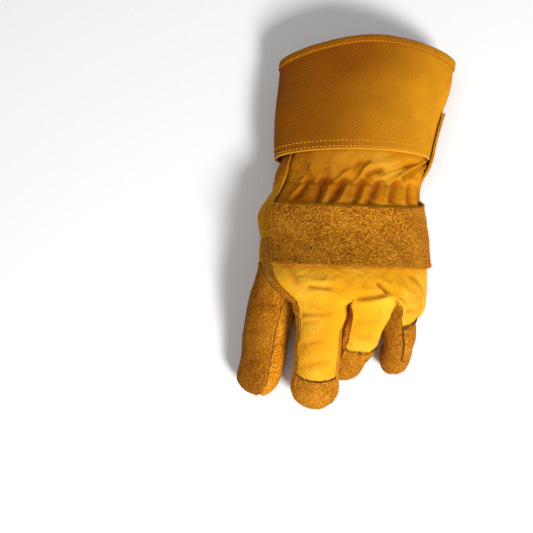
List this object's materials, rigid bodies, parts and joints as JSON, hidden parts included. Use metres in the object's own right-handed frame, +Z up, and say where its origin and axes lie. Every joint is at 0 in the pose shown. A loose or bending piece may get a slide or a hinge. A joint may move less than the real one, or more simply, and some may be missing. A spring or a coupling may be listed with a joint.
{
  "type": "leather work glove",
  "caption": "Left-hand split-leather work glove with a gathered cotton back, a knuckle strap and a wide flared canvas cuff, lying palm down with its fingers curled.",
  "frame": {"origin": "on the resting plane, under the middle of the glove's bounding box", "axes": "+Z up from the resting plane, +Y from the fingers to the cuff, -X to the thumb side"},
  "size_m": [0.1658, 0.273, 0.0743],
  "materials": {
    "cotton_back": "golden twill cotton with a nap, padded",
    "cuff_canvas": "starched twill canvas",
    "binding_tape": "folded cotton tape",
    "split_leather": "rough suede",
    "patch_leather": "smoother split leather"
  },
  "bodies": {
    "root": {"back_panel": "cotton_back", "side_gusset": "cotton_back", "cuff": "cuff_canvas", "cuff_binding": "binding_tape", "knuckle_strap": "split_leather", "palm": "split_leather", "palm_patch": "patch_leather", "index_front": "split_leather", "index_cap": "split_leather", "middle_front": "split_leather", "middle_cap": "split_leather", "ring_front": "split_leather", "ring_cap": "split_leather", "little_front": "split_leather", "little_cap": "split_leather", "thumb_back": "split_leather", "thumb_front": "split_leather"}
  },
  "joints": []
}
